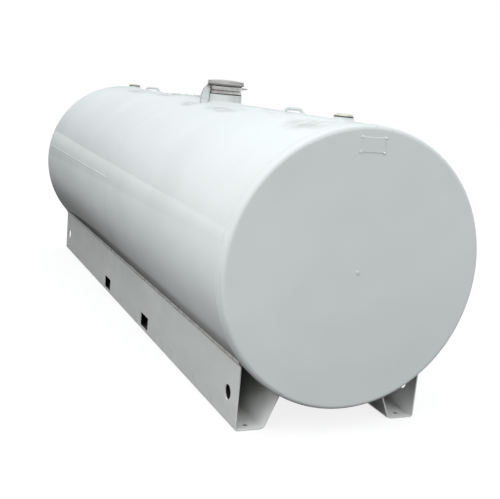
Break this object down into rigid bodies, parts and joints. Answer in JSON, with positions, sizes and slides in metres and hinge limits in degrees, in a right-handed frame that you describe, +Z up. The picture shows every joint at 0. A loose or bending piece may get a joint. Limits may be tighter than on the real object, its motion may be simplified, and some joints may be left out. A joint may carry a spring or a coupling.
{
  "type": "horizontal storage tank on skids",
  "caption": "Horizontal white steel storage tank with flat knuckled heads on folded-plate skids with fork pockets, and a hinged filler lid, capped sockets and lifting bows on its crown.",
  "frame": {"origin": "on the floor under the middle of the tank", "axes": "+X along the tank towards the filler end, +Y across it away from the lid's hinge, +Z up"},
  "size_m": [4.002, 1.25, 1.486],
  "materials": {
    "white_paint": "gloss",
    "skid_paint": "satin",
    "cast_aluminium": "satin",
    "pin_steel": "satin",
    "black_rubber": "matte",
    "cream_plastic": "matte"
  },
  "bodies": {
    "tank": {"near_shell": "white_paint", "far_shell": "white_paint", "near_head": "white_paint", "far_head": "white_paint", "left_skid": "skid_paint", "right_skid": "skid_paint", "filler_neck": "white_paint", "neck_gasket": "black_rubber", "filler_collar": "cast_aluminium", "hinge_lugs": "white_paint", "hinge_pin": "pin_steel", "latch_tab": "cast_aluminium", "near_socket": "white_paint", "far_socket": "white_paint", "near_seal": "black_rubber", "far_seal": "black_rubber", "near_plug": "cream_plastic", "far_plug": "cream_plastic", "near_lifting_bow": "white_paint", "far_lifting_bow": "white_paint", "inspection_flange": "white_paint", "inspection_cover": "white_paint", "head_plate": "white_paint"},
    "lid": {"filler_lid": "cast_aluminium", "lid_gasket": "black_rubber"}
  },
  "joints": [
    {"name": "lid_hinge", "type": "hinge", "parent": "tank", "child": "lid", "pos_m": [0.28, -0.119, 1.4205], "axis": [1, 0, 0], "range_deg": [0, 110]}
  ]
}
